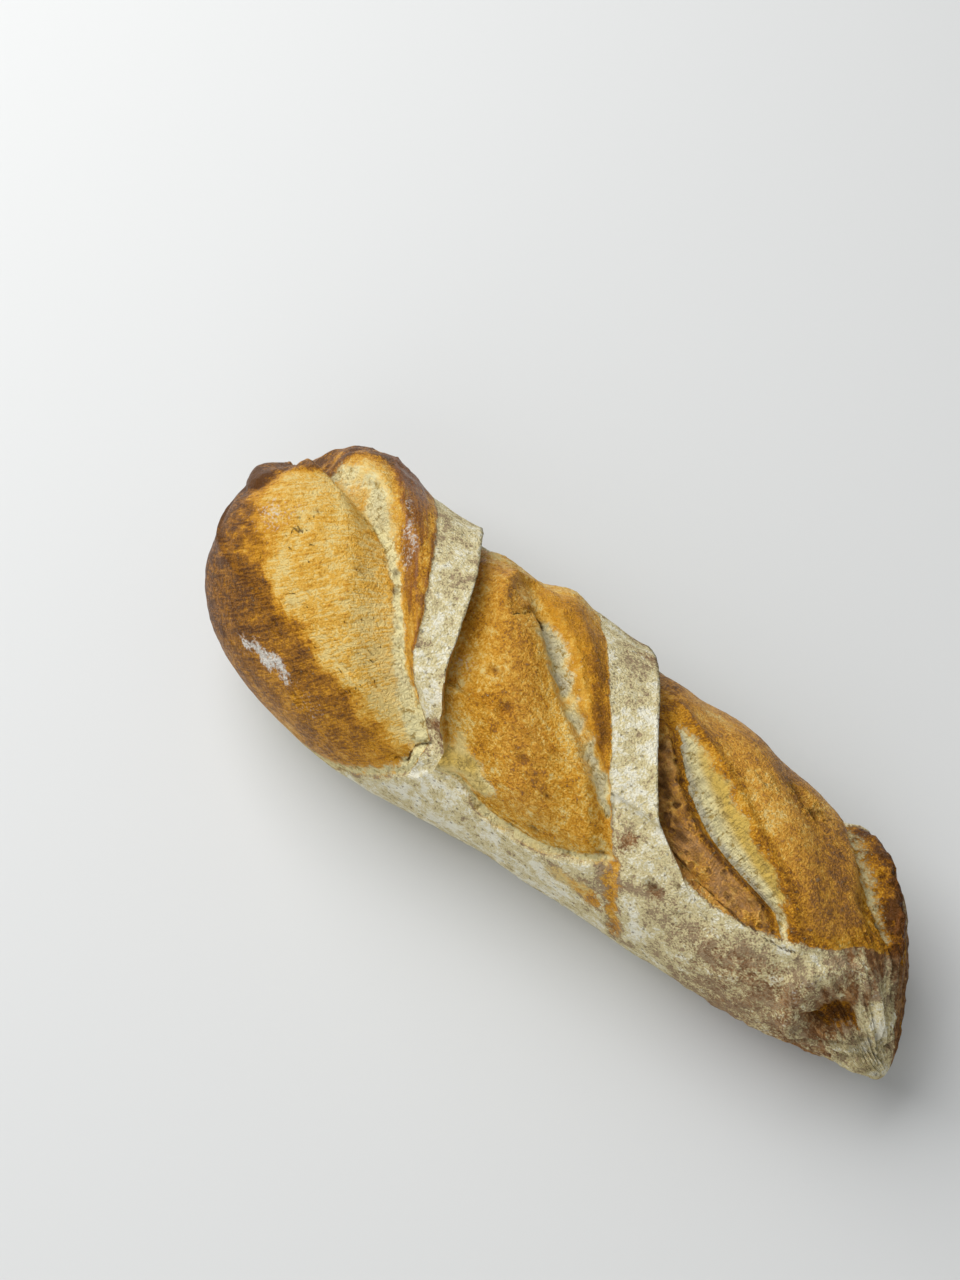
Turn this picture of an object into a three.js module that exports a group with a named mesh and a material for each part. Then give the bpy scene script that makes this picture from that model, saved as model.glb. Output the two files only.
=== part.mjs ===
// A short, floury baguette, baked on its flat base and scored with three deep slanting cuts.
// In the oven the cuts burst open: each one leaves a domed bloom, a torn fissure and a raised
// ear, and the strips of floured skin between the cuts stand up as bands.
// Millimetres, +Z up. +X runs along the loaf to its narrow end, -Y is the side that shows.
import * as THREE from "three";

// The loaf's driving sizes
const FAR_TIP_X = -123;
const NEAR_TIP_X = 118.5;
const FAR_TIP_ROUNDNESS = 0.55;
const NEAR_TIP_ROUNDNESS = 1;
const CROWN_TO_HALF_WIDTH = 0.95;
const BASE_SINK = 4;
const BASE_FULLNESS = 0.7;

// How far the finished loaf is moved, so that the middle of its box stands over the origin
const TO_MIDDLE_X = 4.75;
const TO_MIDDLE_Y = -1.1;

// The body at stations along the loaf, as fractions from the far tip to the near tip
const STATIONS = [0, 0.15, 0.35, 0.5, 0.65, 0.8, 0.92, 1];
const HALF_WIDTHS = [42, 47.5, 42, 35, 35.5, 39, 31, 29];
const MIDDLES_Y = [10, 3.5, 0, 5, 8, 6.5, -4.5, -7];
const WIDEST_HEIGHTS = [28, 28, 28, 27, 26, 24, 21, 18];

// Where each seam crosses the loaf: x at angles round from the top, positive to the front
const SEAM_ANGLES = [-70, -45, -20, 0, 10, 20, 45];
const GROOVE_1 = [-118, -109, -72, -55, -48, -42, -25];
const BAND_1_FAR = [-78, -65, -52.5, -43.5, -40, -36.5, -22.5];
const BAND_1_NEAR = [-60, -50.5, -40, -33.5, -31, -27.5, -17.5];
const FISSURE_2 = [-38, -28, -17, -2.5, 8.5, 19.5, 32];
const BAND_2_FAR = [-18.5, -7, 5.5, 16, 20.5, 25, 34.5];
const BAND_2_NEAR = [-1, 9.5, 20, 29, 34, 40, 66];
const FISSURE_3 = [5, 14, 28.5, 41, 51, 73, 82];
const CREST_3 = [11, 20, 40, 68, 77, 80, 88];
const GROOVE_4 = [70, 83, 93, 93, 89, 85, 92];
const END_SKIN = [100, 101, 99, 96, 93, 90, 98];

// How far round each opening reaches, in degrees from the top
const BACK_END = -76;
const CUT_1_FRONT = 45;
const CUT_2_FRONT = 50;
const CUT_3_FRONT = 31;
const FISSURE_2_BACK = -34;
const FISSURE_3_BACK = -28;
const FISSURE_3_FRONT = 24;
const GROOVE_4_FRONT = -18;
const SIDE_END = 90;
const SHORT_FADE = 5;
const FADE = 10;
const LONG_FADE = 26;
const GROOVE_DEEPENS = [20, 60];

// Where each band sinks back into the floured side, in degrees from the top
const BAND_1_SINKS = [15, 50];
const BAND_2_SINKS = [0, 65];

// The torn edge of the floured side below the second bloom: its angle at places along the loaf
const EDGE_PLACES = [-24, -8, 8, 24, 36];
const EDGE_ANGLES = [54, 60, 65, 58, 44];
const EDGE_STEP = 1.6;
const EDGE_REACH = 16;

// Depths, rises and widths of the relief over the plain body
const GROOVE_DEPTH = 4.5;
const GROOVE_FAR_WIDTH = 18;
const GROOVE_NEAR_WIDTH = 9;
const EAR_FOOT = 3;
const EAR_WIDTH = 11;
const EAR_ARCH = 0.16;
const BAND_RISE = 2.8;
const UNDERCUT = 3.4;
const UNDERCUT_REACH = 14;
const LIP_LEAN = 1.4;
const ROOT_GAP = 0.7;
const FISSURE_WIDTH = 5;
const FISSURE_2_DEPTH = 2.8;
const FISSURE_3_DEPTH = 3.6;
const BLOOM_3_RISE = 1.6;
const BLOOM_3_WIDTH = 14;
const BLOOM_3_CROWN = 0.4;
const GROOVE_4_DEPTH = 3;
const GROOVE_4_WIDTH = 7;

// The pinched knob of dough at the far tip, and the dent in the near end
const KNOB_LENGTH = 5;
const KNOB_RADIUS = 9;
const KNOB_SHIFT_Y = 7;
const KNOB_FADE = 4;
const DENT_X = 101;
const DENT_ANGLE = 36;
const DENT_RADIUS = 8;
const DENT_DEPTH = 3;
const DENT_FROM_AXIS = 26;

// How finely the surface is divided
const SHOWN_COLUMNS = 40;
const UNDER_COLUMNS = 16;
const SHOWN_FROM = -80;
const SHOWN_TO = 104;
const FULL_TURN = 360;
const STEP = 0.5;

const radians = THREE.MathUtils.degToRad;
const mix = THREE.MathUtils.lerp;
const ease = (value, from, to) => THREE.MathUtils.smoothstep(value, from, to);

// A smooth curve through the given values, with each slope taken from the two neighbours
function curve(places, values, place) {
  const last = places.length - 1;
  const slope = (i) => {
    const before = Math.max(i - 1, 0);
    const after = Math.min(i + 1, last);
    return (values[after] - values[before]) / (places[after] - places[before]);
  };
  const here = THREE.MathUtils.clamp(place, places[0], places[last]);
  const i = Math.max(places.findIndex((p) => p >= here) - 1, 0);
  const gap = places[i + 1] - places[i];
  const t = (here - places[i]) / gap;
  const straight = mix(values[i], values[i + 1], t);
  const rise = values[i + 1] - values[i];
  const start = (slope(i) * gap - rise) * t * (1 - t) * (1 - t);
  const end = (rise - slope(i + 1) * gap) * t * t * (1 - t);
  return straight + start + end;
}

// The x of a seam at an angle; under the loaf it swings back to where it began
function seamAt(seam, angle) {
  const first = SEAM_ANGLES[0];
  const last = SEAM_ANGLES[SEAM_ANGLES.length - 1];
  if (angle <= last) return curve(SEAM_ANGLES, seam, angle);
  return mix(seam[seam.length - 1], seam[0], ease(angle, last, first + FULL_TURN));
}

// The plain body: an oval section at x, flattened where it lay on the oven floor
function bodyPoint(x, angle) {
  const along = THREE.MathUtils.clamp((x - FAR_TIP_X) / (NEAR_TIP_X - FAR_TIP_X), 0, 1);
  const share = Math.acos(1 - 2 * along) / Math.PI;
  const roundness = mix(FAR_TIP_ROUNDNESS, NEAR_TIP_ROUNDNESS, share);
  const taper = Math.pow(Math.max(Math.sin(Math.PI * share), 0), roundness);
  const halfWidth = curve(STATIONS, HALF_WIDTHS, share);
  const widest = curve(STATIONS, WIDEST_HEIGHTS, share);
  const towardsKnob = KNOB_SHIFT_Y * Math.exp((FAR_TIP_X - x) / KNOB_FADE);
  const middle = curve(STATIONS, MIDDLES_Y, share) + towardsKnob;
  const turn = radians(angle);
  const up = Math.cos(turn);
  const crown = halfWidth * CROWN_TO_HALF_WIDTH * up;
  const keel = -(widest + BASE_SINK) * Math.pow(Math.max(-up, 0), BASE_FULLNESS);
  const z = widest + taper * (up > 0 ? crown : keel);
  return new THREE.Vector3(x, middle - halfWidth * taper * Math.sin(turn), z);
}

// 1 inside the opening, falling to 0 past its back and front ends
function opening(angle, back, front, fade) {
  return ease(angle, back - fade, back + fade) * (1 - ease(angle, front - fade / 2, front + fade / 2));
}

// A smooth hollow of depth 1 at distance 0, reaching one width to the far side, one to the near
function hollow(distance, farWidth, nearWidth) {
  const part = Math.min(Math.abs(distance) / (distance < 0 ? farWidth : nearWidth), 1);
  return (1 - part * part) ** 2;
}

// Past the lip of a band the crust starts low and climbs back to the body
function undercut(x, lip) {
  return x > lip ? UNDERCUT * (1 - ease(x, lip, lip + UNDERCUT_REACH)) : 0;
}

// A band of skin rises from the foot of its ear, arches over a wide ear, and ends at its lip
function band(x, foot, crest, lip) {
  if (x > lip) return 0;
  const half = Math.max(crest - foot, 1) / 2;
  const arch = EAR_ARCH * half * hollow(x - foot - half, half, half);
  return arch + BAND_RISE * ease(x, foot, Math.min(crest, foot + EAR_WIDTH));
}

// The first cut: a groove beside the first bloom, then the first ear, band and undercut
function firstCut(x, angle, at) {
  const open = opening(angle, BACK_END, CUT_1_FRONT, FADE);
  const deeper = 1 + ease(-angle, ...GROOVE_DEEPENS) / 2;
  const groove = opening(angle, BACK_END, CUT_1_FRONT, LONG_FADE) * deeper;
  const valley = groove * hollow(x - at(GROOVE_1), GROOVE_FAR_WIDTH, GROOVE_NEAR_WIDTH);
  const level = open * (1 - ease(angle, ...BAND_1_SINKS));
  const skin = level * band(x, at(GROOVE_1) + EAR_FOOT, at(BAND_1_FAR), at(BAND_1_NEAR));
  return skin - GROOVE_DEPTH * valley - open * undercut(x, at(BAND_1_NEAR));
}

// The second cut: the second bloom's fissure and lower edge, then the second ear and band
function secondCut(x, angle, at) {
  if (x < at(BAND_1_NEAR)) return 0;
  const open = opening(angle, FISSURE_2_BACK, CUT_2_FRONT, FADE);
  const crack = FISSURE_2_DEPTH * open * hollow(x - at(FISSURE_2), FISSURE_WIDTH, FISSURE_WIDTH);
  const level = opening(angle, BACK_END, SIDE_END, FADE) * (1 - ease(angle, ...BAND_2_SINKS));
  const skin = level * band(x, at(FISSURE_2) + EAR_FOOT, at(BAND_2_FAR), at(BAND_2_NEAR));
  const belowEdge = curve(EDGE_PLACES, EDGE_ANGLES, x) - angle;
  const alongEdge = ease(x, ...EDGE_PLACES.slice(0, 2)) * (1 - ease(x, ...EDGE_PLACES.slice(-2)));
  const ledge = belowEdge > 0 ? EDGE_STEP * alongEdge * hollow(belowEdge, EDGE_REACH, EDGE_REACH) : 0;
  return skin - crack - ledge;
}

// The third cut: undercut, fissure and bloom, with the groove and fold of the near end
function thirdCut(x, angle, at) {
  const open = opening(angle, BACK_END, CUT_3_FRONT, SHORT_FADE);
  const crackOpen = opening(angle, FISSURE_3_BACK, FISSURE_3_FRONT, FADE);
  const slope = Math.max(at(CREST_3) - at(FISSURE_3), FISSURE_WIDTH);
  const crack = FISSURE_3_DEPTH * crackOpen * hollow(x - at(FISSURE_3), FISSURE_WIDTH, slope);
  const crown = mix(at(CREST_3), at(GROOVE_4), BLOOM_3_CROWN);
  const bloom = BLOOM_3_RISE * open * hollow(x - crown, BLOOM_3_WIDTH, BLOOM_3_WIDTH);
  const foldOpen = opening(angle, BACK_END, GROOVE_4_FRONT, FADE);
  const fold = GROOVE_4_DEPTH * foldOpen * hollow(x - at(GROOVE_4), GROOVE_4_WIDTH, GROOVE_4_WIDTH);
  return bloom - open * undercut(x, at(BAND_2_NEAR)) - crack - fold;
}

// Height of the relief over the plain body at x and an angle
function relief(x, angle) {
  const round = angle > FULL_TURN / 2 ? angle - FULL_TURN : angle;
  const at = (seam) => seamAt(seam, angle);
  const fromDent = Math.hypot(x - DENT_X, radians(round - DENT_ANGLE) * DENT_FROM_AXIS);
  const dent = DENT_DEPTH * hollow(fromDent, DENT_RADIUS, DENT_RADIUS);
  return firstCut(x, round, at) + secondCut(x, round, at) + thirdCut(x, round, at) - dent;
}

// The skin at x and an angle: the body, lifted by the relief along its own outward direction
function skinPoint(x, angle) {
  const point = bodyPoint(x, angle);
  const inside = THREE.MathUtils.clamp(x, FAR_TIP_X + 4 * STEP, NEAR_TIP_X - 4 * STEP);
  const along = bodyPoint(inside + STEP, angle).sub(bodyPoint(inside - STEP, angle));
  const round = bodyPoint(inside, angle + STEP).sub(bodyPoint(inside, angle - STEP));
  const outward = round.cross(along).normalize();
  point.addScaledVector(outward, relief(x, angle));
  const fromAxis = Math.hypot(point.y - MIDDLES_Y[0] - KNOB_SHIFT_Y, point.z - WIDEST_HEIGHTS[0]);
  if (x < 0) point.x -= KNOB_LENGTH * Math.exp(-((fromAxis / KNOB_RADIUS) ** 2));
  point.z = Math.max(point.z, 0);
  return point;
}

// Rings of points round the loaf: each spread runs from one seam to the next, and the two
// rings of a lip stand nearly over each other, so the wall under the lip is steep
const FAR_TIP = SEAM_ANGLES.map(() => FAR_TIP_X);
const NEAR_TIP = SEAM_ANGLES.map(() => NEAR_TIP_X);
const root = (seam) => seam.map((x) => x + ROOT_GAP);
const SPREADS = [
  { from: FAR_TIP, to: GROOVE_1, rings: 18, crowd: 2.4 },
  { from: GROOVE_1, to: BAND_1_FAR, rings: 5, crowd: 1 },
  { from: BAND_1_FAR, to: BAND_1_NEAR, rings: 4, crowd: 1, leans: true },
  { from: root(BAND_1_NEAR), to: FISSURE_2, rings: 9, crowd: 1 },
  { from: FISSURE_2, to: BAND_2_FAR, rings: 6, crowd: 1 },
  { from: BAND_2_FAR, to: BAND_2_NEAR, rings: 5, crowd: 1, leans: true },
  { from: root(BAND_2_NEAR), to: FISSURE_3, rings: 6, crowd: 1 },
  { from: FISSURE_3, to: CREST_3, rings: 6, crowd: 1 },
  { from: CREST_3, to: GROOVE_4, rings: 8, crowd: 1 },
  { from: GROOVE_4, to: END_SKIN, rings: 3, crowd: 1 },
  { from: END_SKIN, to: NEAR_TIP, rings: 9, crowd: 0.45 },
];

function columnAngles() {
  const angles = [];
  for (let i = 0; i < SHOWN_COLUMNS; i++) {
    angles.push(mix(SHOWN_FROM, SHOWN_TO, i / SHOWN_COLUMNS));
  }
  for (let i = 0; i < UNDER_COLUMNS; i++) {
    angles.push(mix(SHOWN_TO, SHOWN_FROM + FULL_TURN, i / UNDER_COLUMNS));
  }
  return angles;
}

function loafRings(angles) {
  const rings = [];
  for (const { from, to, rings: count, crowd, leans } of SPREADS) {
    const first = from === FAR_TIP ? 1 : 0;
    const last = leans ? count : count - 1;
    for (let i = first; i <= last; i++) {
      const part = crowd < 1 ? 1 - (1 - i / count) ** (1 / crowd) : (i / count) ** crowd;
      rings.push(
        angles.map((angle) => {
          const x = mix(seamAt(from, angle), seamAt(to, angle), part);
          const point = skinPoint(x, angle);
          if (leans && i === last) point.x += LIP_LEAN * opening(angle, BACK_END, CUT_3_FRONT, FADE);
          return point;
        }),
      );
    }
  }
  return rings;
}

// One closed surface: a fan at each tip and two triangles in each cell between the rings
function loafGeometry() {
  const angles = columnAngles();
  const rings = loafRings(angles);
  const columns = angles.length;
  const points = [skinPoint(FAR_TIP_X, 0), ...rings.flat(), skinPoint(NEAR_TIP_X, 0)];
  const nearTip = points.length - 1;
  const at = (ring, column) => 1 + ring * columns + (column % columns);
  const faces = [];
  for (let c = 0; c < columns; c++) {
    faces.push(0, at(0, c + 1), at(0, c));
    faces.push(nearTip, at(rings.length - 1, c), at(rings.length - 1, c + 1));
    for (let r = 0; r < rings.length - 1; r++) {
      faces.push(at(r, c), at(r + 1, c + 1), at(r + 1, c));
      faces.push(at(r, c), at(r, c + 1), at(r + 1, c + 1));
    }
  }
  const geometry = new THREE.BufferGeometry().setFromPoints(points);
  geometry.setIndex(faces);
  geometry.computeVertexNormals();
  return geometry;
}

const crust = new THREE.MeshStandardMaterial({ color: 0xc08a45, roughness: 0.75, metalness: 0 });
const loaf = new THREE.Mesh(loafGeometry(), crust);
loaf.name = "loaf";
loaf.position.set(TO_MIDDLE_X, TO_MIDDLE_Y, 0);

const baguette = new THREE.Group();
baguette.add(loaf);
export default baguette;
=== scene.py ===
import bpy
import numpy as np
from mathutils import Matrix, Vector


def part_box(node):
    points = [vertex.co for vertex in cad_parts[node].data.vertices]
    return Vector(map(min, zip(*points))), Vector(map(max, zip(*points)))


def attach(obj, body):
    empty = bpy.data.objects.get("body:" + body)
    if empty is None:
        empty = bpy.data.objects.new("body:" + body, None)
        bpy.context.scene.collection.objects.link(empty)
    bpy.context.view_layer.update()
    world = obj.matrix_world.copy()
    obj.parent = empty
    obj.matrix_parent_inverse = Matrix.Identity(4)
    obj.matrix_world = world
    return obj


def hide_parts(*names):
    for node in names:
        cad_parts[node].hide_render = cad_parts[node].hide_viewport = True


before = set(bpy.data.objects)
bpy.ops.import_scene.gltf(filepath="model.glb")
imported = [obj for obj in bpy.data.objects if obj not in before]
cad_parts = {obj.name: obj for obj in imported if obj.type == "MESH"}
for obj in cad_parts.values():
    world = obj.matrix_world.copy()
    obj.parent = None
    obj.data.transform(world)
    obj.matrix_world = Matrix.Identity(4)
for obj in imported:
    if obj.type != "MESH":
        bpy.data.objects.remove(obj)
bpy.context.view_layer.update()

# The loaf: a short, floury baguette of wheat dough, baked on its flat base as one piece.
# Three slanting cuts burst open in the oven. Each left a domed bloom of new crust, a torn
# fissure and a raised ear, and the strips of floured skin between the cuts stand up as bands.

# Sizes of the plain body in millimetres; +X runs to the narrow end, angles are from the top
FAR_TIP_X, NEAR_TIP_X = -123, 118.5
FAR_TIP_ROUNDNESS, NEAR_TIP_ROUNDNESS = 0.55, 1
CROWN_TO_HALF_WIDTH = 0.95
BASE_SINK = 4
BASE_FULLNESS = 0.7
STATIONS = [0, 0.15, 0.35, 0.5, 0.65, 0.8, 0.92, 1]
HALF_WIDTHS = [42, 47.5, 42, 35, 35.5, 39, 31, 29]
MIDDLES_Y = [10, 3.5, 0, 5, 8, 6.5, -4.5, -7]
WIDEST_HEIGHTS = [28, 28, 28, 27, 26, 24, 21, 18]
FAR_TIP_TURN, FAR_TIP_TURN_LENGTH = 7, 4


def ease(value, start, end):
    """0 before start and 1 past end, with the smooth step 3t^2 - 2t^3 between."""
    t = np.clip((value - start) / (end - start), 0, 1)
    return t * t * (3 - 2 * t)


def mix(a, b, share):
    """a where share is 0, b where it is 1, in proportion between."""
    return a + (b - a) * share


def curve(places, values, place):
    """A cubic through the values; each slope is the rise over the run of the two neighbours."""
    p, v = np.asarray(places, float), np.asarray(values, float)
    before = np.maximum(np.arange(len(p)) - 1, 0)
    after = np.minimum(np.arange(len(p)) + 1, len(p) - 1)
    slope = (v[after] - v[before]) / (p[after] - p[before])
    here = np.clip(place, p[0], p[-1])
    i = np.clip(np.searchsorted(p, here) - 1, 0, len(p) - 2)
    gap, rise = p[i + 1] - p[i], v[i + 1] - v[i]
    t = (here - p[i]) / gap
    start = (slope[i] * gap - rise) * t * (1 - t) ** 2
    end = (rise - slope[i + 1] * gap) * t**2 * (1 - t)
    return mix(v[i], v[i + 1], t) + start + end


def body_point(x, angle):
    """An oval section: half width times sine across, crown times cosine up, and below it the
    cosine to a power under 1, so the base is flat; a power of a sine tapers both tips."""
    along = np.clip((x - FAR_TIP_X) / (NEAR_TIP_X - FAR_TIP_X), 0, 1)
    share = np.arccos(1 - 2 * along) / np.pi
    roundness = mix(FAR_TIP_ROUNDNESS, NEAR_TIP_ROUNDNESS, share)
    taper = np.maximum(np.sin(np.pi * share), 0) ** roundness
    half_width = curve(STATIONS, HALF_WIDTHS, share)
    widest = curve(STATIONS, WIDEST_HEIGHTS, share)
    middle = curve(STATIONS, MIDDLES_Y, share)
    middle = middle + FAR_TIP_TURN * np.exp((FAR_TIP_X - x) / FAR_TIP_TURN_LENGTH)
    up = np.cos(np.radians(angle))
    crown = half_width * CROWN_TO_HALF_WIDTH * up
    keel = -(widest + BASE_SINK) * np.maximum(-up, 0) ** BASE_FULLNESS
    y = middle - half_width * taper * np.sin(np.radians(angle))
    return np.stack([x + 0 * angle, y, widest + taper * np.where(up > 0, crown, keel)], -1)


# Where each seam crosses the loaf: x at angles round from the top, positive to the front
SEAM_ANGLES = [-70, -45, -20, 0, 10, 20, 45]
FAR_TIP = [FAR_TIP_X] * 7
GROOVE_1 = [-118, -105, -68, -54.5, -48, -42, -25]
TOASTED_STRIP_1 = [-98, -83, -64, -50.5, -43, -38, -23]
BAND_1_FAR = [-78, -65, -52.5, -43.5, -40, -36.5, -22.5]
BAND_1_NEAR = [-60, -50.5, -40, -33.5, -31, -27.5, -17.5]
FISSURE_2 = [-38, -30, -11, 4, 14, 22.5, 32.5]
BAND_2_FAR = [-18.5, -7, 5.5, 16, 20.5, 25, 34.5]
BAND_2_NEAR = [-1, 9.5, 20, 29, 34, 40, 66]
FISSURE_3 = [5, 15, 31, 42.5, 53.5, 76, 83]
CREST_3 = [11, 19.5, 46, 67, 77, 82.5, 89]
GROOVE_4 = [70, 83, 93, 93, 89, 85, 92]
END_SKIN = [100, 101, 99, 96, 93, 90, 98]
NEAR_TIP = [NEAR_TIP_X] * 7
ROOT_GAP = 0.7
BAND_1_ROOT = [x + ROOT_GAP for x in BAND_1_NEAR]
BAND_2_ROOT = [x + ROOT_GAP for x in BAND_2_NEAR]
BACK_END = -76

# The grid: columns of points at these angles, closer where the loaf shows; rings across them
# follow the seams, a little ragged, and a wall of six rings stands under the lip of each band
SHOWN_COLUMNS, UNDER_COLUMNS = 206, 34
SHOWN_FROM, SHOWN_TO = -98, 108
GIRTH_RADIUS = 40
WALL_RINGS = 6

# From seam to seam: how many rings, and how strongly they crowd towards the first one
SPREADS = [
    (FAR_TIP, GROOVE_1, 92, 2.4),
    (GROOVE_1, BAND_1_FAR, 30, 1),
    (BAND_1_FAR, BAND_1_NEAR, 22, 1),
    (BAND_1_NEAR, BAND_1_ROOT, WALL_RINGS, 1),
    (BAND_1_ROOT, FISSURE_2, 44, 1),
    (FISSURE_2, BAND_2_FAR, 28, 1),
    (BAND_2_FAR, BAND_2_NEAR, 24, 1),
    (BAND_2_NEAR, BAND_2_ROOT, WALL_RINGS, 1),
    (BAND_2_ROOT, FISSURE_3, 22, 1),
    (FISSURE_3, CREST_3, 36, 1),
    (CREST_3, GROOVE_4, 38, 1),
    (GROOVE_4, END_SKIN, 12, 1),
    (END_SKIN, NEAR_TIP, 44, 0.45),
]


def scatter(cell, seed):
    """A repeatable number from 0 to 1 for each whole-number cell, by mixing its three indices."""
    x, y, z = np.moveaxis(cell.astype(np.int64), -1, 0)
    n = (x * 73856093) ^ (y * 19349663) ^ (z * 83492791) ^ (seed * 2654435)
    n = ((n ^ (n >> 13)) * 1274126177) & 0x7FFFFFFF
    n = ((n ^ (n >> 15)) * 668265263) & 0x7FFFFFFF
    return ((n >> 7) & 0xFFFF) / 0xFFFF


CORNERS = np.stack(np.meshgrid([0, 1], [0, 1], [0, 1]), -1).reshape(-1, 3)


def waves(place, size, seed):
    """Soft random hills from -1 to 1: scattered heights at cell corners, smoothly mixed."""
    scaled = place / size
    cell = np.floor(scaled)
    t = scaled - cell
    t = t * t * (3 - 2 * t)
    total = 0
    for corner in CORNERS:
        weight = np.prod(np.where(corner, t, 1 - t), -1)
        total = total + weight * scatter(cell + corner, seed)
    return 2 * total - 1


def opening(angle, back, front, soft):
    """1 between the back and front ends of an opening, falling off smoothly past both."""
    inside = ease(angle, back - soft, back + soft)
    return inside * (1 - ease(angle, front - soft / 2, front + soft / 2))


# Each column's angle, counted on round the base, and how far the seams stray there
turned = np.concatenate([
    np.linspace(SHOWN_FROM, SHOWN_TO, SHOWN_COLUMNS, endpoint=False),
    np.linspace(SHOWN_TO, SHOWN_FROM + 360, UNDER_COLUMNS, endpoint=False),
])
angles = np.where(turned > 180, turned - 360, turned)
edge_place = np.stack([turned, 0 * turned, 0 * turned], -1)
SEAMS_WANDER = 0.9 * waves(edge_place, 5, 3) + 0.45 * waves(edge_place, 2.1, 4)


def seam_at(seam):
    """A seam's x at every column: the curve on top, swinging back to its start underneath."""
    shown = curve(SEAM_ANGLES, seam, turned)
    back = mix(seam[-1], seam[0], ease(turned, SEAM_ANGLES[-1], SEAM_ANGLES[0] + 360))
    shown = np.where(turned > SEAM_ANGLES[-1], back, shown)
    if seam is FAR_TIP or seam is NEAR_TIP:
        return shown
    torn = seam in (GROOVE_1, FISSURE_2, FISSURE_3, CREST_3, GROOVE_4)
    return shown + (1.0 if torn else 0.16) * SEAMS_WANDER * opening(angles, BACK_END, 50, 10)


def ring_rows():
    """x, and how far down the walls of the first and second lips each ring has gone."""
    rows, down_1, down_2 = [], [], []
    for start, end, count, crowd in SPREADS:
        step = np.arange(count)[:, None] / count
        part = 1 - (1 - step) ** (1 / crowd) if crowd < 1 else step**crowd
        rows.append(mix(seam_at(start), seam_at(end), part))
        for down, lip in ((down_1, BAND_1_NEAR), (down_2, BAND_2_NEAR)):
            passed = bool(down) and down[-1][-1, 0] > 0
            down.append(step if start is lip else np.full_like(step, float(passed)))
    return [np.concatenate(parts)[1:] for parts in (rows, down_1, down_2)]


x, wall_1, wall_2 = ring_rows()
past_1, past_2 = np.where(wall_1 > 0, 1.0, 0.0), np.where(wall_2 > 0, 1.0, 0.0)
angle = angles + 0 * x
around = np.radians(angle) * GIRTH_RADIUS
body = body_point(x, angle)
skin = np.stack([x, around, 0 * x], -1)


def beyond(seam):
    """Distance past a seam, square to it on the unrolled skin: x difference over its slant."""
    across = seam_at(seam)
    slant = np.gradient(curve(SEAM_ANGLES, seam, turned), np.radians(turned) * GIRTH_RADIUS)
    return (x - across) / np.sqrt(1 + slant**2)


def past_edge(places, edge_angles):
    """Distance past an edge that runs along the loaf, positive towards the front and down."""
    edge = curve(places, edge_angles, x)
    slant = np.radians(curve(places, edge_angles, x + 1) - edge) * GIRTH_RADIUS
    return np.radians(angle - edge) * GIRTH_RADIUS / np.sqrt(1 + slant**2)


# Distances past each seam, and past each edge of the bare crust, which is given as x places
# and its angle at each; then how far each cut is open at each point
groove_1, band_1_far, band_1_near = beyond(GROOVE_1), beyond(BAND_1_FAR), beyond(BAND_1_NEAR)
fissure_2, band_2_far = beyond(FISSURE_2), beyond(BAND_2_FAR)
fissure_3, crest_3, groove_4 = beyond(FISSURE_3), beyond(CREST_3), beyond(GROOVE_4)
side_1 = past_edge(
    [-112, -100, -88, -82, -66, -51, -39, -31, -17], [150, 130, 112, 99, 98, 97, 87, 76, 56]
)
side_2 = past_edge([-26, -17, -10, -3, 7, 16, 27, 34, 38], [50, 55, 56, 64, 65, 64, 55, 47, 42])
side_3 = past_edge(
    [44, 48, 54.5, 61, 69, 75.6, 83, 91, 96, 102, 108],
    [26, 29, 32, 33, 32, 29, 23, 12, -3, -23, -60]
)
back_side = -past_edge([-114, -100, -80, 0, 80, 100], [-150, -110, -80, -78, -78, -60])
open_1 = opening(angle, BACK_END, 45, 10)
open_2 = opening(angle, -34, 50, 10)
open_3 = opening(angle, BACK_END, 31, 5)


def hollow(distance, far_width, near_width):
    """(1 - d^2)^2: 1 at no distance, 0 one width away, with its own width on each side."""
    part = np.minimum(np.abs(distance) / np.where(distance < 0, far_width, near_width), 1)
    return (1 - part**2) ** 2


# The bands and the cuts in millimetres: how high, how deep and how long each form is
BAND_HEIGHT, BAND_RISE_LENGTH, EAR_FOOT, EAR_ARCH = 2.8, 11, 3, 0.16
LIP_CURL, LIP_ROUNDING, LIP_OVERHANG, LIP_LEAN_LENGTH = 0.7, 1.6, 1.4, 1.5
UNDERCUT_DEPTH, UNDERCUT_LENGTH = 3.4, 14
VALLEY_1_DEPTH, FISSURE_2_DEPTH, HEM_2_DEPTH = 4.5, 2.8, 1.6
DOME_3_HEIGHT, FACE_3_DEPTH, GROOVE_4_DEPTH = 1.6, 3.6, 3
END_DENT_DEPTH, SHOULDER_DROP, KNOB_DIP, CREST_SWELLING = 1.6, 5, 3.4, 2.6
KNOB_DIP_MIDDLE, CREST_SWELLING_MIDDLE = [-122.5, 25, 33], [-113, 30.5, 32]


def band(foot, crest, lip, down):
    """A band of skin rises from the foot of its ear, arches over a wide ear, ends at its lip."""
    foot, crest, lip = seam_at(foot) + EAR_FOOT, seam_at(crest), seam_at(lip)
    half = np.maximum(crest - foot, 1) / 2
    here = np.minimum(x, lip)
    arch = EAR_ARCH * half * hollow(here - foot - half, half, half)
    rise = BAND_HEIGHT * ease(here, foot, np.minimum(crest, foot + BAND_RISE_LENGTH))
    curl = LIP_CURL * np.exp((here - lip) / LIP_ROUNDING)
    return (arch + rise + curl) * (1 - ease(down, 0, 1))


def undercut(lip, down):
    """Past the lip of a band the crust starts low and climbs back to the body."""
    lip = seam_at(lip)
    return UNDERCUT_DEPTH * (1 - ease(x, lip, lip + UNDERCUT_LENGTH)) * ease(down, 0, 1)


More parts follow.
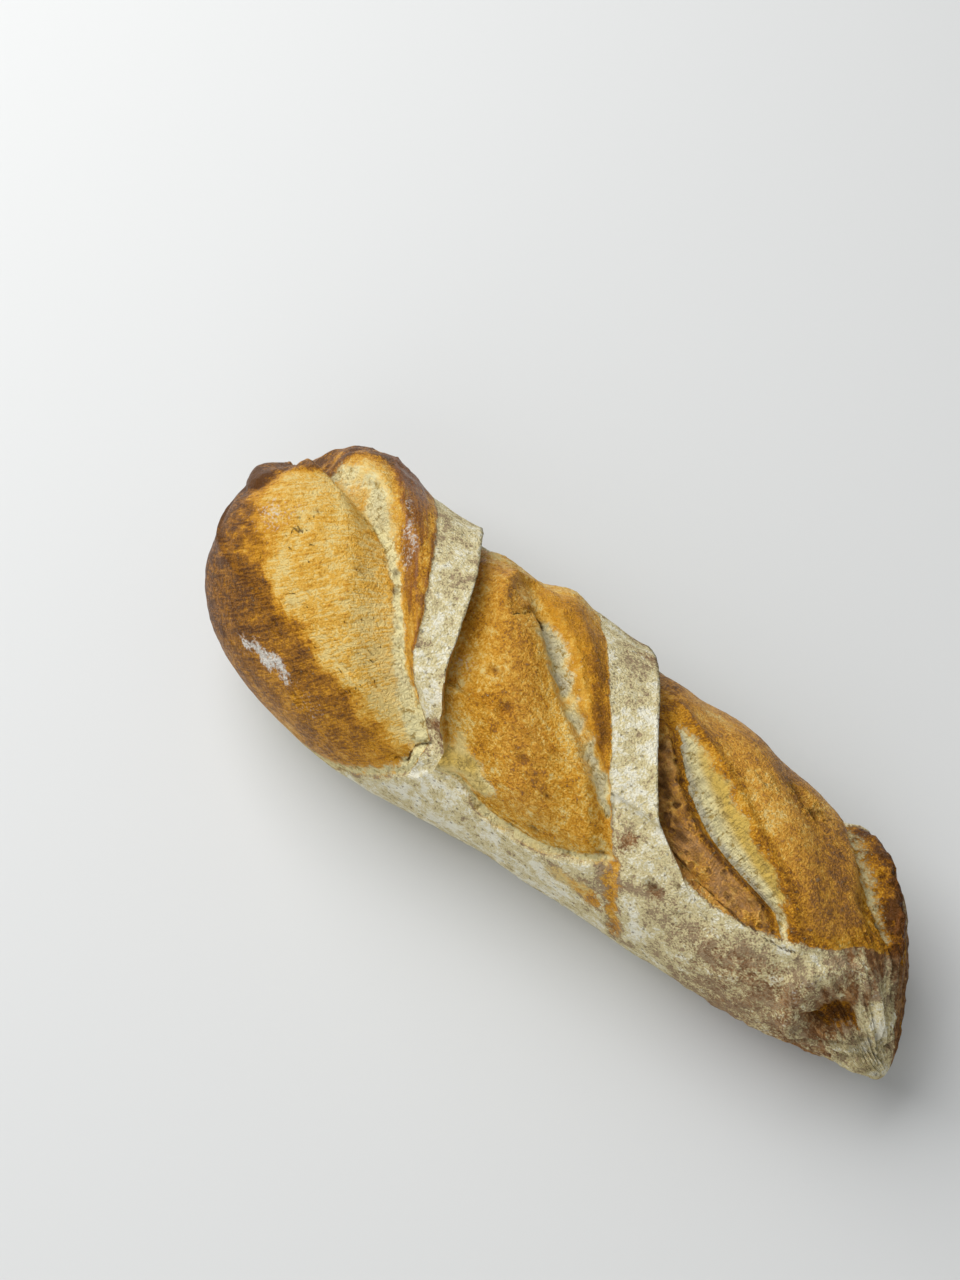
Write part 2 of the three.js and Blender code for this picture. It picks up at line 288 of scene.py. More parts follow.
# The low relief: each cut with its band, then the dents and the swelling at the two ends
relief = open_1 * (1 - ease(angle, 15, 50)) * band(GROOVE_1, BAND_1_FAR, BAND_1_NEAR, wall_1)
valley = opening(angle, BACK_END, 45, 26) * (1 + ease(-angle, 20, 60) / 2)
relief -= VALLEY_1_DEPTH * valley * hollow(x - seam_at(GROOVE_1), 18, 9)
relief -= open_1 * undercut(BAND_1_NEAR, wall_1)
level_2 = opening(angle, BACK_END, 90, 10) * (1 - ease(angle, 0, 65))
relief += past_1 * level_2 * band(FISSURE_2, BAND_2_FAR, BAND_2_NEAR, wall_2)
relief -= past_1 * FISSURE_2_DEPTH * open_2 * hollow(x - seam_at(FISSURE_2), 5, 5)
edge_gap = curve([-24, -8, 8, 24, 36], [54, 60, 65, 58, 44], x) - angle
along_edge = ease(x, -24, -8) * (1 - ease(x, 24, 36))
relief -= HEM_2_DEPTH * past_1 * along_edge * np.where(edge_gap > 0, hollow(edge_gap, 16, 16), 0)
slope_3 = np.maximum(seam_at(CREST_3) - seam_at(FISSURE_3), 5)
relief += (
    DOME_3_HEIGHT * open_3 * hollow(x - mix(seam_at(CREST_3), seam_at(GROOVE_4), 0.4), 14, 14)
)
relief -= open_3 * undercut(BAND_2_NEAR, wall_2)
relief -= FACE_3_DEPTH * opening(angle, -28, 24, 10) * hollow(x - seam_at(FISSURE_3), 5, slope_3)
relief -= GROOVE_4_DEPTH * opening(angle, BACK_END, -18, 10) * hollow(x - seam_at(GROOVE_4), 7, 7)
relief -= END_DENT_DEPTH * hollow(np.hypot(x - 102, np.radians(angle - 41) * 26), 8, 8)
relief -= SHOULDER_DROP * hollow(np.hypot(x + 118, np.radians(angle + 38) * 14), 10, 10)
relief -= KNOB_DIP * hollow(np.linalg.norm(body - KNOB_DIP_MIDDLE, axis=-1), 9, 9)
relief += CREST_SWELLING * hollow(np.linalg.norm(body - CREST_SWELLING_MIDDLE, axis=-1), 8, 8)

# Edges seen on the crust, as (x, angle) places
CREST_FRONT = [
    (-112, -12), (-106, -18), (-102, -24), (-99, -32), (-96, -45), (-90, -47), (-84, -46),
    (-78, -44), (-70, -43)
]
BROWN_BORDER = [
    (-122, 0), (-114, 8), (-107, 15), (-97, 20), (-88, 29), (-76, 36), (-63, 38), (-49, 45),
    (-33, 54)
]

# Lines and spots seen on the crust, as (angle, x) places; a pit has a radius too, and a
# ring mark a radius and a height
CRUMB_LINE_1 = [
    (-33, -82), (-27, -74), (-20, -67), (-11, -60), (6, -49.5), (22, -41), (39, -31), (46, -25)
]
PEBBLED_END = [(-44, -101), (-39, -91), (-35, -83), (-30, -76), (-25, -70)]
CRUMB_LINE_2 = [
    (-30, -19), (-23, -13), (-15, -7), (-9, -2), (-3, 2), (5, 9), (11, 15), (20, 22), (29, 27)
]
EAR_2_CREST = [
    (-25, -32), (-34, -35), (-47, -36), (-53, -31), (-44, -24), (-35, -17), (-25, -9), (-14, -1),
    (-5, 6), (4, 13)
]
FISSURE_2_TOP = [(-23, -26), (-28, -25), (-34, -23), (-31, -19)]
INNER_LIP_3 = [(25, 45), (30, 56), (31, 66), (31, 77), (27, 84)]
TORN_CORNER = [(52, -19), (44, -14), (50, -5)]
CORNER_CRACK = [(62, -29), (59, -26), (52, -25), (46, -22)]
BRUISE_CREASE = [(44, 34), (52, 36.5), (64, 39), (77, 42), (90, 43)]
END_ARCH = [(80, 95.5), (66, 92.5), (50, 91), (36, 91), (22, 94), (10, 99), (3, 104), (2, 109)]
END_HOLLOW = [(57, 99.5), (47, 101), (36, 103.5), (29, 105.5)]
KNOB_CREASE = [
    (18, -121), (11, -116), (2, -112.5), (-10, -110.5), (-25, -110.5), (-45, -113), (-70, -118)
]
# A line of painted glints along the first ear's toasted strip
STRIP_1_PAINTED_GLINT = [(-38, -72), (-29, -65.7), (-20, -59), (-15, -57)]
GROOVE_4_LINE = [(-80, 70), (-67, 77), (-52, 83), (-41, 89), (-31, 95.5), (-25, 100)]
EAR_4_LINE = [(-80, 76), (-66, 83.5), (-54, 89.5), (-44, 95), (-34, 100), (-26, 104)]
LONG_CRACKS = [
    [(39, -56), (30, -52), (20, -48)],
    [(38, -52), (32, -49), (27, -46)],
    [(10, -91), (5, -90), (2, -88)],
    [(57, -42), (51, -41), (46, -40)],
    [(46, -49), (40, -46), (35, -43)],
    [(22, -60), (17, -57), (13, -55)],
]
TIP_WRINKLES = [
    [(86, 94), (99, 99), (101, 108), (90, 115)],
    [(81, 96), (70, 104), (43, 111), (-24, 116)],
    [(91, 100), (75, 109), (-5, 118)],
    [(66, 96), (60, 101), (46, 108), (20, 112)],
    [(100, 96), (84, 95), (68, 96), (58, 99)],
]
PITS = [
    (1, 33, 1.6), (5, 35.5, 1.4), (17, 45, 2), (6, 39, 1.1), (18, 70, 1.2), (-3, 31, 1.2),
    (12, 42, 1.2), (21, 52, 1.3)
]
PITS += [
    (-43, 59, 2.4), (-38, 66, 1.2), (44, 47, 1.7), (48, 55, 0.9), (36, 52, 0.8), (55, 13, 1.2),
    (35, 12, 0.9)
]
PITS += [(46, 31, 1), (3, -19, 0.9), (0, -67, 0.9), (-9, -89, 0.8), (-12, -60, 0.9), (-4, -56, 1)]
PITS += [
    (-54, 91, 1.8), (-43, 97, 1.6), (-28, 98, 1.3), (-25, 104, 1.6), (-24, 109, 1.4),
    (-30, 114, 1.2), (-60, 84, 1.2)
]
RING_MARKS = [
    (15, -10, 3.2, 0.7), (4, -20, 2.4, 0.7), (28, 2, 2.6, 0.7), (62, -60, 2.2, 0.7),
    (30, -75, 2.4, 0.7)
]
RING_MARKS += [(-31, 51, 2.2, 1.2), (-43, 61.5, 4.2, 1.4), (-37, 67, 2, 1.2)]


def from_line(path, bend=0.5):
    """Distance from a smooth line through (angle, x) places, on the unrolled skin; a soft random
    push of up to this bend makes the line uneven."""
    steps = np.linspace(0, len(path) - 1, 6 * len(path))
    line_angle, line_x = (
        curve(range(len(path)), [place[k] for place in path], steps) for k in (0, 1)
    )
    line = np.stack([line_x, np.radians(line_angle) * GIRTH_RADIUS], -1)
    here = skin[..., :2] + bend * np.stack([waves(skin, 2.6, 5), waves(skin, 2.6, 6)], -1)
    nearest = np.full(x.shape, 1e3)
    for start, end in zip(line[:-1], line[1:]):
        span = end - start
        along = np.clip((here - start) @ span / (span @ span), 0, 1)
        gap = np.linalg.norm(here - start - along[..., None] * span, axis=-1)
        nearest = np.minimum(nearest, gap)
    return nearest


def from_spot(spot_angle, spot_x):
    """Distance from one (angle, x) place, on the unrolled skin."""
    return np.hypot(x - spot_x, np.radians(angle - spot_angle) * GIRTH_RADIUS)


def fade(distance, width, power=2):
    """exp(-(distance / width)^power): 1 at no distance, falling off smoothly beside it."""
    return np.exp(-((distance / width) ** power))


def near(path, width, bend=1, power=2):
    """1 on a line through (angle, x) places, fading over this width beside it."""
    return fade(from_line(path, bend), width, power)


def near_spot(spot_angle, spot_x, radius):
    """1 at one place, fading over this radius round it."""
    return fade(from_spot(spot_angle, spot_x), radius)


def rough(place, size, seed):
    """Four layers of waves, each half the size and 0.55 of the height of the one before."""
    return sum(0.55**i * waves(place, size / 2**i, seed + i) for i in range(4)) / 1.6


# Where each kind of surface lies: floured skin, bare crust, torn crumb
wander = 0.9 * waves(body, 3.1, 11) + 0.6 * waves(body, 1.3, 12)
crest_front = past_edge(*zip(*CREST_FRONT))
behind = ease(angle + 8 * wander, -104, -84)
far_crest = (
    ease(-crest_front + 0.8 * wander, -1, 1) * ease(x + 1.5 * wander, -112, -107)
    * (1 - ease(x, -76, -68)) * behind
)
bloom_1 = ease(-groove_1 + wander, -1.5, 1.5) * (1 - far_crest)
ear_1 = (
    np.maximum(ease(groove_1 + wander, -1, 1), far_crest)
    * ease(-band_1_far + 0.3 * wander, -0.4, 0.4)
)
band_1 = ease(band_1_far - 0.3 * wander, -0.4, 0.4) * (1 - past_1)
cut_2 = past_1 * ease(-band_2_far + 0.3 * wander, -0.4, 0.4)
band_2 = ease(band_2_far - 0.3 * wander, -0.4, 0.4) * (1 - past_2)
cut_3, between_lips = past_2, past_1 * (1 - past_2)
bare_1 = (1 - past_1) * (1 - band_1) * (1 - ease(side_1 + wander, -1.5, 1.5))
bare_2 = cut_2 * (1 - ease(side_2 + 0.6 * wander, -0.6, 0.6))
bare_3 = cut_3 * (1 - ease(side_3 + 0.5 * wander, -0.5, 0.8))
back_bare = 1 - ease(back_side + wander, -1.5, 1.5)
bare = (bare_1 + bare_2 + bare_3).clip(0, 1) * back_bare

# The ear of each cut: a strip of old skin, toasted and drawn out along the cut
strip_edge = beyond(TOASTED_STRIP_1)
strip_1 = ear_1 * ease(strip_edge + 0.4 * wander, -0.3, 0.9) * opening(angle, -80, 17, 6)
strip_1_border = ear_1 * hollow(strip_edge - 0.2, 1.9, 1.9) * opening(angle, -60, 26, 8)
strip_1_bright = ease(-band_1_far, 0.4, 1) * (1 - ease(-band_1_far, 2.2, 4.4))
torn_crest = (
    ear_1 * ease(-crest_front + 1.6 * wander, 0, mix(1.5, 4, ease(x, -102, -96)))
    * (1 - ease(x, -84, -72)) * ease(x, -111, -106)
)
ear_2_ridge = near(EAR_2_CREST, 2.3, 0.8) * cut_2
strip_2 = (
    cut_2 * ease(fissure_2 + 0.5 * wander, 1.2, 3.2) * (1 - ease(angle, 22, 36))
    * ease(angle, -60, -45)
)
strip_3 = cut_3 * ease(-fissure_3 + 0.5 * wander, 0.5, 2) * ease(angle, -30, -16) * bare_3
strip_3_border = cut_3 * hollow(fissure_3 + 1.6, 2.4, 1.4) * ease(angle, -36, -20) * bare_3
valley_2 = past_1 * (1 - ease(band_1_near + 0.6 * wander, 3, 7.5)) * opening(angle, -85, 24, 14)

# Crumb shows in the grooves and fissures and along torn edges
pebbled = near(PEBBLED_END, 2.5) * (0.66 + 0.6 * rough(body, 3, 66)).clip(0, 1)
width_1 = curve([-40, -20, 0, 20, 40], [1.7, 1.7, 1.7, 2.2, 3.2], angle)
crumb_1 = near(CRUMB_LINE_1, width_1, 0.9) * bare_1
width_2 = curve([-30, -18, -6, 0, 8, 14, 30], [2.0, 3.2, 2.2, 2.6, 1.4, 2.4, 1.2], angle)
gaps_2 = 1 - 0.9 * fade(x, 1.6) - 0.9 * fade(x - 9.5, 2)
crumb_2 = near(CRUMB_LINE_2, width_2, 1.5) * past_1 * gaps_2
inside_3 = past_2 * ease(fissure_3, -0.3, 0.8) * ease(-crest_3 + 1.2 * wander, 0, 4.5)
face_3 = inside_3 * opening(angle, -30, 26, 6)
corner = near(TORN_CORNER, 4, 1.4) * past_1 * (1 - ease(side_2, 0, 1.5))
rim_2 = fade(side_2 + 0.9 + 0.6 * wander, 1.1) * ease(x, -22, -14) * (1 - ease(x, 30, 38))
rim_1 = fade(side_1 + 1.5 + wander, 2.2) * ease(x, -80, -50) * (1 - ease(x, -20, -14))
groove_gap = from_line(GROOVE_4_LINE, 0.8)
crumb_4 = fade(groove_gap, 1.6) * cut_3
torn_foot = ear_1 * bare_1 * ease(angle + 4 * wander, 30, 38)
crumb = np.maximum.reduce([
    crumb_1, torn_foot, pebbled, crumb_2, face_3, corner, 0.95 * rim_2, 0.75 * rim_1, 0.6 * crumb_4
])
# How grey the crumb is: greyer crumb in the fissures, and on the third cut's torn face a painted
# shade, grey and dark at the fissure side fading to cream
across_face = (fissure_3 / np.maximum(fissure_3 - crest_3, 2)).clip(0, 1)
grey_and_shade = 0.35 * pebbled + 0.75 * crumb_2 + 0.3 * crumb_4 + face_3 * (1.2 - 3.2 * across_face)
grey_and_shade += (
    0.2 * crumb_1 - 0.7 * corner * ease(-side_2, 0.5, 3) - 0.2 * rim_2 + 0.3 * rough(body, 5, 13)
)


def streaks(turn, length, width, seed):
    """Waves drawn out along a direction that is turned this many degrees from the long axis."""
    c, s = np.cos(np.radians(turn)), np.sin(np.radians(turn))
    along, across = x * c + around * s, around * c - x * s
    place = np.stack([along / length, across / width, 0 * x], -1)
    return waves(place, 1, seed)


# How brown the crust is, from 0, pale, to 1, dark brown: first the bloom and the ear of the
# first cut, then the second cut, then the third with the last ear
drift = waves(body, 17, 21)
mottle = rough(body, 5, 22)
drawn = streaks(-50, 5, 0.9, 23)
border = past_edge(*zip(*BROWN_BORDER)) + 4 * mottle + 1.2 * drawn + 2 * waves(body, 9, 26)
softness = mix(3.5, 17, ease(-x, 84, 108))
below = ease(border, -softness, softness)
toast_1 = (
    0.19 + 0.05 * drawn + 0.09 * mottle + below * (0.4 + 0.2 * np.exp(-np.maximum(border, 0) / 6))
)
toast_1 += (
    below * (0.15 + 0.14 * rough(body, 8, 27) + 0.08 * ease(-x, 92, 106)
    - 0.12 * ease(x, -84, -62))
)
toast_1 += 0.14 * ease(-x + 5 * mottle, 98, 120) + 0.07 * ease(-x, 84, 100) * ease(angle, -20, 10)
toast_1 -= 0.14 * ease(groove_1, -16, -3) * ease(angle, -10, 24)
toast_1 -= 0.1 * ease(angle, 78, 104)
toast_ear = (
    0.42 + 0.14 * mottle - 0.2 * near(PEBBLED_END, 3.6) + 0.02 * strip_1_border
    + strip_1 * (0.34 - 0.24 * strip_1_bright) * (1 - 0.8 * strip_1_border)
)
toast_ear += (0.16 * far_crest + 0.4 * torn_crest) * (0.8 + 0.6 * rough(body, 4, 28))

brown_spots = [(-12, -20, 8), (17, -9, 13), (36, 10, 11)]
blotches = sum(near_spot(a, s, r) for a, s, r in brown_spots)
web = np.abs(rough(body, 5.5, 61))
web_2 = (
    (1 - ease(web, 0.0, 0.1)) * (0.4 + 0.6 * ease(-side_2, 4, 16) * (1 - ease(fissure_2, -12, -3)))
)
dome_2 = (
    hollow(np.abs(x - mix(seam_at(BAND_1_ROOT), seam_at(FISSURE_2), 0.52)), 13, 13)
    * opening(angle, -46, 46, 14)
)
toast_2 = 0.37 + 0.1 * mottle + 0.12 * blotches * (1 - strip_2) - 0.22 * web_2 * (1 - strip_2)
toast_2 += (
    0.14 * rough(body, 10, 62) + 0.1 * dome_2 + 0.2 * strip_2 - 0.16 * near(CRUMB_LINE_2, 4.5)
)
toast_2 -= 0.2 * hollow(band_1_near - 3, 4, 7) * opening(angle, 4, 60, 10)
# Browner in the valley under the first band's lip: partly the crust's colour, partly painted shade
toast_2 += (
    0.13 * valley_2 - 0.15 * ease(side_2, -8, -1) - 0.1 * ease(-angle, 38, 62) * (1 - ear_2_ridge)
)
toast_2 += (
    strip_2 * (0.06 + 0.24 * ease(-band_2_far, -0.5, 3.5) * (1 - ease(-band_2_far, 3.5, 6))
    * opening(angle, -24, 12, 8))
)
toast_2 += 0.2 * ear_2_ridge * (1 - strip_2) - 0.1 * near(EAR_2_CREST, 1.0, 0.8)

toast_3 = (
    0.64 + 0.18 * mottle + strip_3 * (0.14 * rough(body, 4, 65) - 0.1) + 0.16 * strip_3_border
    + 0.08 * rough(body, 9, 29)
)
toast_3 += (
    0.06 * fade(crest_3, 1.8) * (angle > -45)
    - 0.1 * ease(crest_3, 2, 5) * (1 - ease(crest_3, 12, 20))
)
toast_3 += (
    0.22 * rough(body, 11, 63) + 0.1 * ease(x, 66, 88) * ease(angle, -44, -6)
    * (1 - ease(groove_4, -3, 1))
)
ear_4 = cut_3 * fade(from_line(EAR_4_LINE, 0.8), 3.4)
toast_3 += 0.5 * ear_4 * (1 + mottle)

toast = np.where(
    cut_3 > 0, toast_3, np.where(past_1 > 0, toast_2, mix(toast_ear, toast_1, bloom_1))
)
toast = mix(toast, 0.55, (band_1 + band_2).clip(0, 1)) + 0.04 * drift
glaze = np.maximum.reduce([
    strip_1 * (1 - 0.55 * strip_1_bright) * (1 - 0.7 * strip_1_border),
    0.3 * torn_crest, 0.22 * strip_2, 0.4 * strip_3_border, 0.5 * ear_4
])

# Flour: thick on the old skin, thin where it was rubbed, with a few dusted patches elsewhere that
# are partly painted highlights
bruise = near([(70, 25), (69, 30), (72, 34)], 5.2, 1.4)
bruise = np.maximum(bruise, 0.95 * near(BRUISE_CREASE, 2.8, 1.6))

# Towards the near end the skin peels, wrinkles into an arch, and sinks into a small hollow
peel = ease(x, 52, 76) * (1 - ease(x, 91, 97)) * ease(angle, 28, 46)
near_end = ease(x, 86, 98)
arch = near(END_ARCH, 3.6, 0.8)
hollow_end = near(END_HOLLOW, 3.3, 0.7, 4)
end_rim = ease(x, 97, 104) * ease(-angle + 8 * mottle, 24, 42) * (1 - ease(-angle, 80, 100))

thick = 0.22 * ease(angle, 50, 74) * (1 - ease(x, 30, 66)) + 0.12 * ease(-angle, 38, 62) * band_2
thick += 0.3 * band_2 * ease(angle, -26, -8) * (1 - ease(angle, 16, 34))
flour = (
    (1 - bare) * (1 + thick) * (1 - (0.88 + 0.3 * mottle) * bruise) * (1 - hollow_end)
    * (1 - 0.8 * end_rim)
)
flour *= 1 - peel * (0.4 + 0.14 * rough(body, 3.6, 24)).clip(0, 0.75)
flour *= 1 - 0.14 * ease(x, 40, 60) * ease(angle, 30, 50) * (1 - near_end)
flour *= (
    1 - near_end * (1 - 0.7 * ease(x, 103, 109))
    * (0.6 + 0.5 * streaks(58, 9, 1.6, 51)).clip(0, 0.8) * (1 - 0.4 * arch)
)
flour *= 1.02 + 0.1 * rough(body, 9, 25) + 0.2 * ease(x, 105, 112)
worn = [
    (-68, -2, 6), (-51, 6, 5), (34, 35, 3), (30, 36, 2), (45, 48, 3), (40, -19, 4), (36, -24, 3)
]
flour *= 1 - sum(0.6 * near_spot(a, s, r) for a, s, r in worn).clip(0, 0.7)

# Dusted patches on bare crust, partly painted highlights: the pale patches on the first bloom and
# the glints along its ear's strip stand in for reflections. Then the toasted knob, which keeps
# some of its old skin
dust_and_highlights = 1.35 * near([(60, -83), (58, -78), (56, -68)], 3.1, 2.4) + 0.5 * near_spot(62, -56, 6)
dust_and_highlights += 0.75 * near_spot(6, -99, 7) + 0.45 * near_spot(8, -27, 5)
dust_and_highlights += 0.35 * near_spot(-5, -93, 3) + 0.3 * valley_2 * ease(-angle, -30, 20)
# Glints along the first ear's toasted strip are painted highlights; the arch gets real flour dust
dust_and_highlights += 0.45 * strip_1 * near([(-24, -66), (-14, -59), (-8, -55)], 2.2) + 0.4 * arch
dust_and_highlights += 0.7 * strip_1 * near(STRIP_1_PAINTED_GLINT, 1.8)
knob_edge = past_edge([-122, -118, -115, -110, -107, -104], [22, 14, 7, -1, -6, -12])
knob = (
    ease(-knob_edge + 0.5 * wander, -0.5, 1) * (1 - ease(x + 1.5 * wander, -112, -107))
    * ease(angle + 8 * wander, -92, -58)
)
toast += 0.66 * knob - 0.04 * bruise + 0.3 * hollow_end + 0.02 * end_rim
old_skin = np.maximum(
    (1 - bare) * (1 - hollow_end) * (1 - 0.8 * bruise), 0.35 * ease(knob, 0.3, 0.7)
)


NEIGHBOURS = np.stack(np.meshgrid([-1, 0, 1], [-1, 0, 1], [-1, 0, 1]), -1).reshape(-1, 3)


def pebbles(place, size, seed):
    """Distance from the nearest of the points scattered one to a cell, as a share of the size."""
    scaled = place / size
    cell = np.floor(scaled)
    nearest = np.full(cell.shape[:-1], 9.0)
    for step in NEIGHBOURS:
        spot = cell + step
        middle = spot + np.stack([scatter(spot, seed + k) for k in range(3)], -1)
        nearest = np.minimum(nearest, np.linalg.norm(scaled - middle, axis=-1))
    return nearest


# Fine relief: swellings, stretch lines, torn crumb, pebbles, pores and blisters
fine = 0.5 * waves(body, 15, 31) + 0.22 * waves(body, 6, 32)
grain = rough(body, 1.7, 33)
stretch_1 = drawn + 0.6 * streaks(-44, 4, 0.7, 35)
along_1 = streaks(48, 12, 1.0, 36) + 0.6 * streaks(46, 6, 0.6, 37)
fine += bare * (0.13 * grain + 0.1 * rough(body, 4, 38))

# The first bloom's stretch lines, its ear, and the knob
fine += bare_1 * bloom_1 * (0.07 + 0.16 * hollow(groove_1, 22, 3)) * stretch_1
fine += strip_1 * (0.2 * along_1 + 0.5) + ear_1 * torn_crest * (0.8 * rough(body, 4.5, 39) + 0.5)
fine -= 0.5 * strip_1_border
knob_gap = from_line(KNOB_CREASE, 0.5)
fine += knob * (1 - fade(knob_gap, 4)) - 1.1 * fade(knob_gap, 2)

# The second bloom's dome and web of skin, its ear, and the fissure beside it
fine += between_lips * (0.4 * web_2 + 2.2 * dome_2)
fine += 1.8 * ear_2_ridge + 0.14 * strip_2 * along_1 + valley_2 * 0.2 * streaks(62, 12, 1.1, 43)
fine -= 0.8 * past_1 * near(CRUMB_LINE_2, 2.2, 0.9) + 0.7 * near(FISSURE_2_TOP, 1.1)

# Torn crumb: pebbles behind the first ear, bubbles and ridges in the third cut, its crest
stones = 1 - pebbles(body, 2.9, 44)
fine += pebbled * (1.3 * stones - 0.7)
stirred = (
    body + 1.3 * np.stack([waves(body, 2.8, 56), waves(body, 2.8, 57), waves(body, 2.8, 58)], -1)
)
bubbles = 1 - pebbles(stirred, 3.4, 47) / 0.55
fine += strip_3 * (1.1 * rough(body, 3, 40) - 1.2 * np.maximum(bubbles, 0))
torn = rough(body, 2.2, 41)
ridges_3 = streaks(-78, 9, 1.3, 45)
fine += (
    crumb * (0.4 * torn - 0.2) + face_3 * (0.24 * ridges_3
    - 0.4 * hollow(across_face - 0.3, 0.3, 0.4))
)
fine += 0.9 * fade(crest_3, 1.7) * cut_3 * opening(angle, -44, 18, 6)
fine += corner * (1.4 * rough(body, 5.5, 52) + 0.8)

# Thin layers along the second cut's lower edge, and the lips of skin beside the cuts
LAYER_SPACING = 2
layers = np.sin((side_2 + 0.8 * wander) * 2 * np.pi / LAYER_SPACING)
layered = (
    ease(side_2, -8, -3) * (1 - ease(side_2, -0.5, 0.5)) * ease(x, -14, -2) * (1 - ease(x, 28, 34))
)
fine += between_lips * 0.3 * layers * layered
toast = toast - 0.18 * between_lips * layers * layered
lip_2 = ease(side_2 + 0.5 * wander, -0.4, 0.6) * ease(x, -18, -10) * (1 - ease(x, 30, 36))
lip_1 = ease(side_1 + wander, -0.6, 0.8) * ease(x, -60, -40) * (1 - ease(x, -22, -16))
fine += (
    np.maximum(lip_2, 0.5 * lip_1) * np.exp(-np.maximum(np.where(x > -18, side_2, side_1), 0) / 5)
)
lip_3 = ease(side_3 + 0.4 * wander, -0.4, 0.4) * past_2 * (1 - ease(x, 84, 92)) * ease(x, 36, 46)
fine += 1.2 * lip_3 * np.exp(-np.maximum(side_3, 0) / 6)

# Floured skin, which peels and folds at the near end, round the swollen last ear
fine += (1 - bare) * (0.08 * grain + 0.07 * rough(body, 3, 42))
fine += peel * (0.5 * rough(body, 5, 46) + 0.8 * (1 - pebbles(body, 3.6, 54)) - 0.4)
swollen_4 = cut_3 * ear_4 * (2.6 + 0.5 * rough(body, 4, 55))
fine += swollen_4 - 2.4 * cut_3 * fade(groove_gap, 2.6)
fibres = streaks(62, 9, 0.9, 48)
fine += arch * (2.1 + 0.3 * fibres) - 3.8 * near(END_HOLLOW, 3.8, 0.5, 3)
wrinkled = np.maximum.reduce([near(line, 1.2, 1.5) for line in TIP_WRINKLES])
fine += near_end * (0.8 * rough(body, 3.4, 49) + 0.7 * streaks(20, 8, 1.2, 50)) - 1.4 * wrinkled
fine -= 0.7 * near_end * ease(angle, 20, 70) * (1 - arch)

# Pits with a raised rim, ring marks left by blisters, and pores; the pit mask is painted shade in
# the pits, pores, torn crumb, tip wrinkles, bubbles and the gaps between pebbles
pit_shade = 0 * x
for pit_angle, pit_x, radius in PITS:
    gap = from_spot(pit_angle, pit_x) + 0.4 * wander
    fine -= 0.65 * radius * fade(gap, radius) - 0.35 * fade(gap - 1.5 * radius, 0.6)
    pit_shade = pit_shade + fade(gap, radius)
for mark_angle, mark_x, radius, lift in RING_MARKS:
    gap = from_spot(mark_angle, mark_x) + wander
    ring = fade(gap - radius, 0.6)
    fine += lift * (ring - 1.1 * fade(gap, radius))
    toast = toast + 0.05 * fade(gap, radius) - 0.16 * ring
pores = np.maximum(0, 1 - pebbles(body, 3.4, 53) / 0.2)
fine -= bare * 0.25 * pores
pit_shade = pit_shade + 0.5 * bare * pores + 0.5 * crumb * ease(-torn, 0.15, 0.7) + 0.35 * wrinkled * near_end
pit_shade = pit_shade + 0.5 * strip_3 * ease(bubbles, 0, 0.5) + 0.6 * pebbled * ease(-stones, -0.4, -0.2)
pit_shade = pit_shade.clip(0, 1)


def dash(spot_angle, spot_x, turn, half_length):
    """Distance from a short straight line at a place, turned from the long axis in degrees."""
    c, s = np.cos(np.radians(turn)), np.sin(np.radians(turn))
    ahead, over = x - spot_x, np.radians(angle - spot_angle) * GIRTH_RADIUS
    past = np.maximum(np.abs(ahead * c + over * s) - half_length, 0)
    return np.hypot(past, over * c - ahead * s + 0.5 * wander)


# Fine cracks: the long ones, and short ones drawn out across the first bloom. Their dark colour
# below is painted shade
CRACKS, CRACKS_FROM, CRACKS_TO = 34, -106, -34
chance = np.random.default_rng(8)
cracks = LONG_CRACKS + [CORNER_CRACK, INNER_LIP_3, FISSURE_2_TOP]
crack_gap = np.minimum.reduce([from_line(line, 0.8) for line in cracks])
for crack_x in chance.uniform(CRACKS_FROM, CRACKS_TO, CRACKS):
    crack_angle = np.interp(crack_x, [CRACKS_FROM, CRACKS_TO], [0, 36]) + chance.uniform(-22, 30)
    gap = dash(crack_angle, crack_x, chance.uniform(-64, -40), chance.uniform(0.6, 2))
    gap = gap + chance.uniform(0, 0.25)
    crack_gap = np.minimum(crack_gap, np.where(bloom_1 * bare_1 > 0.5, gap, 5))
crack_gap = np.minimum(crack_gap, 5)
fine += 0.16 * fade(crack_gap - 1.2, 0.7) - 0.4 * fade(crack_gap, 0.8)
fine -= 0.8 * near(CORNER_CRACK, 1.1) + 0.8 * near(BRUISE_CREASE, 1.4, 0.8)

# Where the colour is drawn out, rosy or bubbly
stretched = bare_1 * bloom_1 * (1 - knob)
rosy = 0.55 * strip_3 * (1 - strip_3_border) * (0.8 + 1.2 * rough(body, 6, 64))
rosy += 0.1 * dome_2 * (1 - strip_2)
rosy += 0.18 * bare_3 * ease(crest_3, 0, 6) * (1 - ease(groove_4, -3, 1))
rosy = rosy.clip(0, 1)
bubbly_back = bare * cut_3 * ease(x, 48, 60) * ease(-angle, 20, 34)
bubbly = np.maximum.reduce([strip_3, ear_4, 0.5 * bubbly_back, 0.5 * end_rim])

